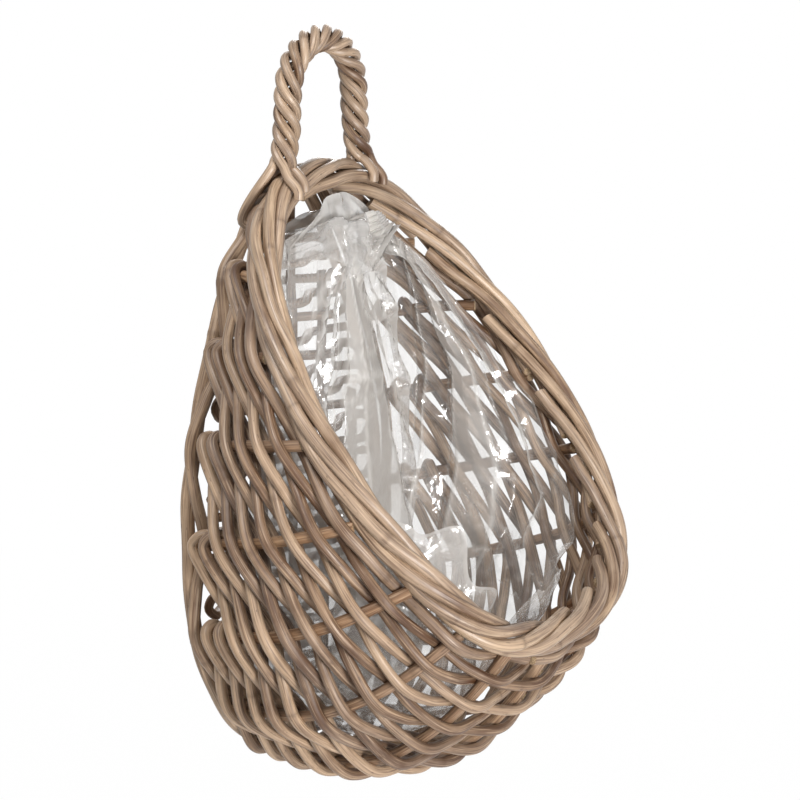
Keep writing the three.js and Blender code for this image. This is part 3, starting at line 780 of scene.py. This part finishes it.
def packing_path(level, rank):
    """Up one side, round a stake, down and up the other side, round a stake and back to the start."""
    far = STATIONS - level
    return np.concatenate([
        row_path(run(PACKING_START, level), rank),
        hairpin(level, rank, rank + 1),
        row_path(run(level, far), rank + 1),
        hairpin(far, rank + 1, rank),
        row_path(run(far, PACKING_END), rank),
    ])


over_top = np.array([-0.75, -0.5, -0.25, 0, 0.25, 0.5, 0.75]) % STATIONS
round_run = np.concatenate([run(ROUND_START, STATIONS - 1), over_top, run(1, ROUND_END)])
round_rods = [rod(row_path(round_run, rank), ROUND_THICKNESS * WEAVER_D, rng) for rank in (HOOP_RANK, 0)]
rod_piece("wall_weaver_rods", round_rods, weathered,
          ["wall_weaver_hoop", "wall_weaver_border"])
for name, first_rank in {"border": 1, "hoop": 3}.items():
    packing = []
    for level in range(1, LEVELS + 1):
        route = packing_path(level, first_rank + 4 * (level - 1))
        packing.append(rod(route, rng.uniform(*PACKING_THICKNESS) * WEAVER_D, rng))
    rod_piece(f"packing_rods_{name}", packing, weathered,
              [f"packing_rod_{name}_{level}" for level in range(1, LEVELS + 1)])

# %% [markdown]
# ## The rolled border
# The border is a slow rope of five strands round the mouth, twisted faster at the bottom than at the top.
# A strand isn't one long rod: each rod comes up from outside, rolls over the front and ends cut off inside
# the mouth, where the next one takes its place underneath. Four whole rings twisted together would be
# simpler, but the cut tails show. So each strand is drawn as four rods, one for each turn of the rope, from
# behind the border to a tail inside. A rod's lay is its angle round the rope.

# %% Border rods
BORDER_TURNS = 4
BORDER_STRANDS = 5
BORDER_REACH = 6.7
BORDER_NODES = 4
BORDER_THICKNESS = (0.8, 0.92)
BOTTOM_TWIST = 0.35
START_LAY = (-215, -195)
TAIL_LAY = (98, 135)
TAIL_LIFT = 2.0
rng = np.random.default_rng(51)
down_slope = unit(np.array([0.0, RIM_TOP_DEPTH - RIM_BOTTOM_DEPTH, RIM_BOTTOM - RIM_TOP]))
out_of_mouth = -np.cross([1, 0, 0], down_slope)


def border_point(angle, lay, reach):
    """A point round the border's middle line: lay 0 faces out of the mouth and 90 degrees into it."""
    around = unit(rim_point(angle + SMALL) - rim_point(angle - SMALL))
    inwards = np.cross(around, out_of_mouth)
    offset = np.cos(lay)[:, None] * out_of_mouth + np.sin(lay)[:, None] * inwards
    return rim_point(angle) + reach[:, None] * offset


def rising(values, low, high):
    """0 up to low, 1 from high and straight between; with low above high it falls instead."""
    return np.clip((values - low) / (high - low), 0, 1)


def border_path(strand, turn):
    """One rod of a strand: it starts behind the border and its tail lifts a little into the mouth."""
    lay = np.radians(np.linspace(rng.uniform(*START_LAY), rng.uniform(*TAIL_LAY), 40))
    angle = (2 * np.pi * strand / BORDER_STRANDS - lay - 2 * np.pi * turn) / BORDER_TURNS
    angle = angle + BOTTOM_TWIST * np.sin(angle)
    lift = rising(np.degrees(lay), 50, 110) ** 2
    return border_point(angle, lay, BORDER_REACH + TAIL_LIFT * lift)


border = [rod(border_path(strand, turn), rng.uniform(*BORDER_THICKNESS) * BORDER_ROD_D, rng, 0.8)
          for strand in range(BORDER_STRANDS) for turn in range(BORDER_TURNS)]
rod_piece("border_rods", border, handled_and_sheen,
          [f"border_rod_{number}" for number in range(1, BORDER_NODES + 1)])

# %% [markdown]
# ## The twisted handle
# Four thinner strands are twisted into a rope that stands up as an arch. A Screw modifier could make a
# straight helix, but this one follows an arch and comes apart at its feet. So a strand is a circle in the
# plane across the arch, turning as it goes.

# %% The arch and its rope
STRAND_D = 5.4
BEND_RADIUS = 34
LEG = 42
LEG_SPLAY = 6
HANDLE_TURNS = 4.5
STRANDS = 4
STRAND_OFFSET = STRAND_D + CLEARANCE
ROPE_RADIUS = STRAND_OFFSET + STRAND_D / 2
backward = np.array([0.0, 1, 0])


def arch_point(from_crown):
    """A half circle at the crown, then legs that splay by the square of the way down."""
    bend = np.minimum(np.abs(from_crown) / BEND_RADIUS, np.pi / 2)
    down = np.abs(from_crown) - bend * BEND_RADIUS
    x = np.sign(from_crown) * (BEND_RADIUS * np.sin(bend) + LEG_SPLAY * (down / LEG) ** 2)
    return np.stack([x, 0 * x, ROPE_RADIUS - BEND_RADIUS * (1 - np.cos(bend)) - down], axis=-1)


def rope(strand):
    """The helix of one strand from the left foot over the crown to the right foot."""
    share = np.linspace(0, 1, 60)
    from_crown = (np.pi * BEND_RADIUS + 2 * LEG) * (share - 0.5)
    along = unit(arch_point(from_crown + SMALL) - arch_point(from_crown - SMALL))
    sideways = np.cross(along, backward)
    lay = 2 * np.pi * (HANDLE_TURNS * share + (strand + 0.5) / STRANDS)[:, None]
    return arch_point(from_crown) - STRAND_OFFSET * (np.cos(lay) * backward - np.sin(lay) * sideways)


print("rope length", round(np.pi * BEND_RADIUS + 2 * LEG, 1), "mm")

# %% [markdown]
# At each foot two strands cross in front of the border into the mouth, and two go down through the wall
# behind it. Which two is read from where the helix leaves them, in front or behind, so the strands part
# rightly when the twist is changed. Each foot is a few points more for the smooth curve.

# %% Handle strands
STRAND_THICKNESS = 1.12
TUCK_ROOM = 1.03
TUCK_LEAN = 0.55
TUCK_DROP = 4
TUCK_SPREAD = 1.2
TUCK_THROUGH = 6.0
rng = np.random.default_rng(64)


def rim_angle_at(x):
    """The angle at which the border's upper half has this width."""
    quarter = np.linspace(0, np.pi / 2, 200)
    angle = np.interp(abs(x), rim_point(quarter)[:, 0], quarter)
    return 2 * np.pi - angle if x < 0 else angle


def tuck(foot):
    """In front: over the border, beside it and down. Behind: through the wall under the border's row."""
    angle = np.array([rim_angle_at(foot[0])])
    if foot[1] < 0:
        reach = TUCK_ROOM * (BORDER_RADIUS + STRAND_D / 2) + CLEARANCE
        centre = rim_point(angle)[0]
        over = centre + reach * unit(out_of_mouth - TUCK_LEAN * down_slope)
        beside = centre + reach * out_of_mouth
        below = beside + TUCK_DROP * down_slope
        return np.stack([over, beside, below, below + [0, 0, -TUCK_DROP]])
    angle = np.linspace(0.1, 1.5, 80)
    clear = border_clear(angle, BORDER_TO_ROW + (WEAVER_D + STRAND_D) / 2 + 2 * CLEARANCE)
    distance = wall_lengths(angle)[-1] - clear
    out = wall_place(angle, distance, TUCK_THROUGH)
    through = wall_place(angle, distance, -TUCK_THROUGH)
    nearest = np.argmin(np.abs(out[:, 0] - TUCK_SPREAD * abs(foot[0])))
    return np.stack([out[nearest], through[nearest]]) * [np.sign(foot[0]), 1, 1]


def strand_path(strand):
    """Left tuck, rope and right tuck in one line."""
    twisted = rope(strand)
    return np.concatenate([tuck(twisted[0])[::-1], twisted, tuck(twisted[-1])])


handle = [rod(strand_path(strand), STRAND_THICKNESS * STRAND_D, rng, 0.2) for strand in range(STRANDS)]
rod_piece("handle_strands", handle, handled_and_sheen,
          [f"handle_strand_{strand + 1}" for strand in range(STRANDS)])

# %% [markdown]
# ## The film bag
# A bag of thin clear film keeps the soil in. It follows the inside of the wall, hangs loose in front of
# the back, and is bunched at the top of the mouth. First comes the smooth bag: columns round the basket,
# and rows that cross the back from its middle and then run along the wall to the mouth. Its edge waves,
# and at the top it is drawn out past the mouth, where it will be bunched. A cloth simulation could drop a
# bag in, but its folds fall by chance. Formulas put them where the photograph shows them.

# %% The bag before it creases
FILM_COLUMNS = 360
BACK_ROWS = 40
WALL_ROWS = 90
FILM_STAND_OFF = WEAVE_HEIGHT + WEAVER_D / 2 + 2 * CLEARANCE
FILM_BACK = 2 * BACK_WEAVE + BACK_WEAVER_D + CLEARANCE
FILM_MIDDLE = at_depth(0, FILM_BACK, -296)
EDGE_SHARE = 0.96
EDGE_WAVE = 0.05
EDGE_OUT = [(0.6, 6, 30), (0.3, 330, 25), (0.05, 105, 45)]
rng = np.random.default_rng(77)


def inside_wall(angle, share):
    """The wall moved in by half a weave, more where the wall slopes."""
    slope = wall_directions(angle, share)[1]
    out = outward(angle)
    rise = (slope * out).sum(axis=-1) / np.abs(slope[..., 1])
    return wall_point(angle, share) - out * (FILM_STAND_OFF * np.hypot(1, rise))[..., None]


def bump(angle, centre, width):
    """1 at the centre, in degrees, and nothing a few widths away, the short way round."""
    away = (np.degrees(angle) - centre + 180) % 360 - 180
    return np.exp(-((away / width) ** 2))


around = np.linspace(0, 2 * np.pi, FILM_COLUMNS, endpoint=False)
mouth_depth = HOOK_TO_WALL - wall_ends(around)[1][:, 1]
foot_share = np.minimum((FILM_BACK - HOOP_D / 2) / (mouth_depth - HOOP_D / 2), 0.9)
edge_waves = np.cos(around[:, None] * [7, 11, 17] + rng.uniform(0, 6, 3)).sum(axis=1) / 3
drawn_out = sum(share * bump(around, centre, width) for share, centre, width in EDGE_OUT)
reach = EDGE_SHARE + drawn_out + EDGE_WAVE * edge_waves
way = np.linspace(0, 1, WALL_ROWS)[:, None]
along_wall = inside_wall(around + 0 * way, foot_share + (reach - foot_share) * way)
across = np.linspace(0.03, 1, BACK_ROWS, endpoint=False)[:, None, None]
bag = np.concatenate([FILM_MIDDLE + (along_wall[:1] - FILM_MIDDLE) * across, along_wall])
to_mouth = np.concatenate([np.zeros((BACK_ROWS, 1)), way])
print("bag of", bag.shape[0], "rows and", bag.shape[1], "columns")

# %% [markdown]
# Film doesn't wrinkle like cloth: it folds along straight, sharp lines. In the middle long pleats run out
# like rays from the bunch at the top, so they are a zigzag of the direction seen from there: a table of
# directions and heights with straight lines between. On the right wall the folds open like a fan from the
# top. Each line of the fan keeps one ratio of the way left to the mouth and half the angle from the top,
# and a second table gives the heights for that ratio.

# %% Pleats and fan
GATHER = at_depth(8, 42, -94)
BUNCH_SIZE = 50
PLEATS = np.array([[-1.5, 0], [-0.62, 0.2], [-0.48, 0.75], [-0.36, 0.15], [-0.25, 0.7], [-0.15, 0.1],
                   [-0.05, 0.1], [-0.02, 0.8], [0.17, 1.1], [0.40, 0.9], [0.43, 0.2], [0.50, 0.65],
                   [0.57, 0.1], [0.66, 0.6], [0.72, 0.1], [0.83, 0.55], [0.92, 0.1], [1.05, 0.4], [1.5, 0]])
FAN = np.array([[0, 0], [0.10, 0.1], [0.18, 0.7], [0.25, 0.1], [0.40, 0.15], [0.48, 0.9], [0.60, 1.1],
                [0.72, 0.9], [0.78, 0.1], [0.98, 0.7], [1.08, 0.1], [1.6, 0]])
FAN_CRESTS = [0.18, 0.48, 0.72, 0.98]
from_gather = bag - GATHER
ray = np.arctan2(from_gather[..., 0], from_gather @ down_slope)
far = np.linalg.norm(from_gather, axis=-1)
pleat = np.interp(ray, PLEATS[:, 0], PLEATS[:, 1]) * rising(far, 0, 90)
bunched = np.exp(-((far / BUNCH_SIZE) ** 2))
turned = np.degrees(around)
right_side = rising(turned, 0, 25) * rising(turned, 160, 120) * rising(to_mouth, 0, 0.08)
fan = (1 - to_mouth) / np.maximum(around / 2, 0.01)
fold = np.interp(fan, FAN[:, 0], FAN[:, 1]) * right_side
print("share of the film in the fan", (right_side > 0.5).mean().round(2))

# %% [markdown]
# The rest is loose film. Small creases are the absolute value of sines on slanted planes, which is sharp
# along each line where the sine is zero. Below the bunch a strip is doubled, so it is smoother, with one
# cross fold. Low on the right the film stands up as a crumpled tent, and low on the left its edge is
# pulled up as a flap. All heights are added along the direction into the bag, and what hangs in front of
# the back comes forward.

# %% Creases and the loose edge
PLEAT_HEIGHT = 15
WALL_PLEAT_HEIGHT = 4
FOLD_HEIGHT = 13
TENT_HEIGHT = 16
HANG_FORWARD = 16
CROSS_FOLD_Z = -206
CROSS_FOLD_HEIGHT = 4
CROSS_FOLD_WIDTH = 14
BAG_MIDDLE = at_depth(0, 110, -270)
FLAP_PULL = np.array([16, -4, 29])
BUNCH_WIDENING = 0.9
inwards = unit(np.cross(np.roll(bag, -1, axis=1) - np.roll(bag, 1, axis=1), np.gradient(bag, axis=0)))
inwards *= np.sign((inwards * (BAG_MIDDLE - bag)).sum(axis=-1, keepdims=True))


def creases(points, low, high, count):
    """The mean of |sin| over random slanted planes, each as high as a part of its own wavelength."""
    facing = unit(rng.normal(size=(count, 3)))
    length = rng.uniform(low, high, count)
    start = rng.uniform(0, np.pi, count)
    return (np.abs(np.sin(np.pi * (points @ facing.T) / length + start)) * length).sum(axis=-1) / count


fade = 0.25 + 0.7 * bump(around, 0, 40)
hang = np.interp(bag[..., 2], [-440, -330, -120], [0.15, 0.7, 1]) * (1 - np.clip(to_mouth / fade, 0, 1))
doubled = rising(ray, -0.03, -0.01) * rising(ray, 0.42, 0.40) * rising(hang, 0, 0.1)
cross_fold = doubled * rising(np.abs(bag[..., 2] - CROSS_FOLD_Z), CROSS_FOLD_WIDTH, 0)
flap = bump(around, 232, 12) * rising(to_mouth, 0.6, 1) ** 2 * (1 + 0.5 * edge_waves)
tent = bump(around, 135, 18) * np.sin(np.pi * rising(to_mouth, 0.3, 1)) ** 2
curl = (3 + 12 * bump(around, 150, 9) + 2 * edge_waves) * rising(to_mouth, 0.45, 1) ** 2
crumple = (0.22 + 0.35 * bunched) * creases(bag, 20, 60, 9)
crumple = crumple + (0.04 + 0.1 * bunched) * creases(bag, 8, 18, 6)
height = crumple * (1 + 1.6 * tent + 1.2 * flap) * (1 - 0.7 * doubled) + CROSS_FOLD_HEIGHT * cross_fold
height = height + pleat * (PLEAT_HEIGHT * hang + WALL_PLEAT_HEIGHT * (1 - hang))
height = height + FOLD_HEIGHT * fold + TENT_HEIGHT * tent
film_points = bag + inwards * (height + curl)[..., None]
film_points[..., 1] -= HANG_FORWARD * hang
film_points += flap[..., None] * FLAP_PULL
film_points[..., 0] *= 1 + BUNCH_WIDENING * bunched * to_mouth
print("highest crease", height.max().round(1), "mm")

# %% [markdown]
# Besides its slant, four things decide how white a spot of the film looks: whether it hangs in the bunch
# or is doubled, whether it lies on a ridge or on the left wall, how sharply it is bent there, and whether
# it is at the loose edge. They are measured on the shape and kept on the points. A bend is the change of
# slope from row to row and from column to column. The extra white on the left wall is painted light where
# the key lamp falls, and bright lines drawn along the crests of the doubled strip and of the fan are
# painted highlights.

# %% Where the film is white
STRIP_CREST = 0.17
slope_change = np.abs(np.roll(height, 1, axis=1) + np.roll(height, -1, axis=1) - 2 * height)
slope_change[1:-1] += np.abs(np.diff(height, n=2, axis=0))
at_edge = rising(to_mouth, 0.985, 1)
# The film on the left wall, where the key lamp falls, is made whiter: painted light.
left_wall_painted_light = bump(around, 262, 55) * rising(to_mouth, 0, 0.1)
ridges = np.clip(2 * fold - 0.9, 0, 1)
milk_and_painted_light = 0.18 * rising(hang, 0, 0.2) + 0.5 * doubled + 0.2 * bunched + 0.45 * left_wall_painted_light + 0.36 * ridges
milk_and_painted_light = np.clip(milk_and_painted_light - 0.12 * flap + 0.3 * at_edge, 0, 1)
# Bright lines along the crest of the doubled strip and the fan's crests are painted highlights; the bend
# measure marks the creases.
strip_painted_highlight = doubled * np.exp(-(((ray - STRIP_CREST) / 0.012) ** 2))
fan_painted_highlights = np.exp(-(((fan[..., None] - FAN_CRESTS) / 0.014) ** 2)).sum(axis=-1) * right_side
creases_and_highlights = np.maximum(np.clip(slope_change / 1.6, 0, 1) ** 2, strip_painted_highlight + 0.8 * fan_painted_highlights)
print("share of sharp creases", (creases_and_highlights > 0.3).mean().round(3))

# %% [markdown]
# Clear film is nearly nothing to see: a faint white veil, brighter where it is folded, creased or seen
# edge on, and glints of the lamps. So the shader mixes clear with white by a factor built from those
# things, and lays a thin gloss over it. The factor also holds painted light on the left wall and painted
# highlights along the crests of the strip and the fan.

# %% Clear film


def clear_film(name):
    """Transparent mixed with satin white by haze, folds, creases and slant, under a thin gloss. The haze also
    carries painted light on the left wall and painted highlights along the crests.
    """
    material = bpy.data.materials.new(name)
    material.use_nodes = True
    start = Socket(material.node_tree)
    place = start.node("ShaderNodeTexCoord", output="Object")
    veil_and_painted_light = start.node("ShaderNodeAttribute", {"attribute_name": "veil_and_painted_light"}, output="Color")
    milk_and_painted_light, crease_and_highlight = [start.node("ShaderNodeSeparateColor", None, {0: veil_and_painted_light}, part) for part in range(2)]
    slant = start.node("ShaderNodeLayerWeight", None, {"Blend": 0.5}, output="Facing")
    clouds = place.noise(22, 3).ramp(0.35, 0.75)
    haze_and_painted_light = (0.09 + 0.15 * clouds + 0.8 * milk_and_painted_light + 0.35 * crease_and_highlight + 0.3 * slant * slant).limited()
    ripples = place.noise(140, 2)
    relief = start.node("ShaderNodeBump", None, {"Strength": 0.35, "Distance": 0.002, "Height": ripples})
    shader = material.node_tree.nodes["Principled BSDF"]
    tint = clouds.blend(colour(205, 201, 196), colour(193, 189, 184))
    material.node_tree.links.new(tint.socket, shader.inputs["Base Color"])
    material.node_tree.links.new(relief.socket, shader.inputs["Normal"])
    shader.inputs["Roughness"].default_value = 0.18
    clear = start.node("ShaderNodeBsdfTransparent")
    gloss = start.node("ShaderNodeBsdfGlossy", None, {"Roughness": 0.12, "Normal": relief})
    satin = Socket(start.tree, shader.outputs[0])
    veiled = start.node("ShaderNodeMixShader", None, {0: haze_and_painted_light, 1: clear, 2: satin})
    mirror = 0.06 + 0.5 * slant * slant * slant
    film = start.node("ShaderNodeMixShader", None, {0: mirror, 1: veiled, 2: gloss})
    output = material.node_tree.nodes["Material Output"]
    material.node_tree.links.new(film.socket, output.inputs["Surface"])
    return material


film_finish = clear_film("clear_film")
print("finish", film_finish.name, len(film_finish.node_tree.nodes), "nodes")

# %% [markdown]
# The grid becomes a mesh of four-sided faces, closed at the middle of the back by a fan of triangles.

# %% The film as a piece
rows, columns = height.shape
corner = np.arange(rows * columns).reshape(rows, columns)
beside = np.roll(corner, -1, axis=1)
quads = np.stack([corner[:-1], corner[1:], beside[1:], beside[:-1]], axis=-1).reshape(-1, 4)
closing = np.stack([np.full(columns, rows * columns), corner[0], beside[0]], axis=1)
points = np.vstack([film_points.reshape(-1, 3), film_points[0].mean(axis=0)]) * MM
film_mesh = bpy.data.meshes.new("film_liner")
film_mesh.from_pydata(points, [], quads.tolist() + closing.tolist())
# This attribute keeps the film's whiteness, with its painted light and painted highlights.
veil_and_painted_light = np.stack([milk_and_painted_light, creases_and_highlights, 0 * milk_and_painted_light, 0 * milk_and_painted_light + 1], axis=-1).reshape(-1, 4)
layer = film_mesh.attributes.new("veil_and_painted_light", "FLOAT_COLOR", "POINT")
layer.data.foreach_set("color", np.vstack([veil_and_painted_light, veil_and_painted_light[0]]).ravel())
film_mesh.shade_smooth()
film_mesh.set_sharp_from_angle(angle=np.radians(28))
film_mesh.materials.append(film_finish)
film = bpy.data.objects.new("film_liner", film_mesh)
bpy.context.scene.collection.objects.link(film)
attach(film, "root")
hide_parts("liner")
print("film", len(film_mesh.polygons), "faces")
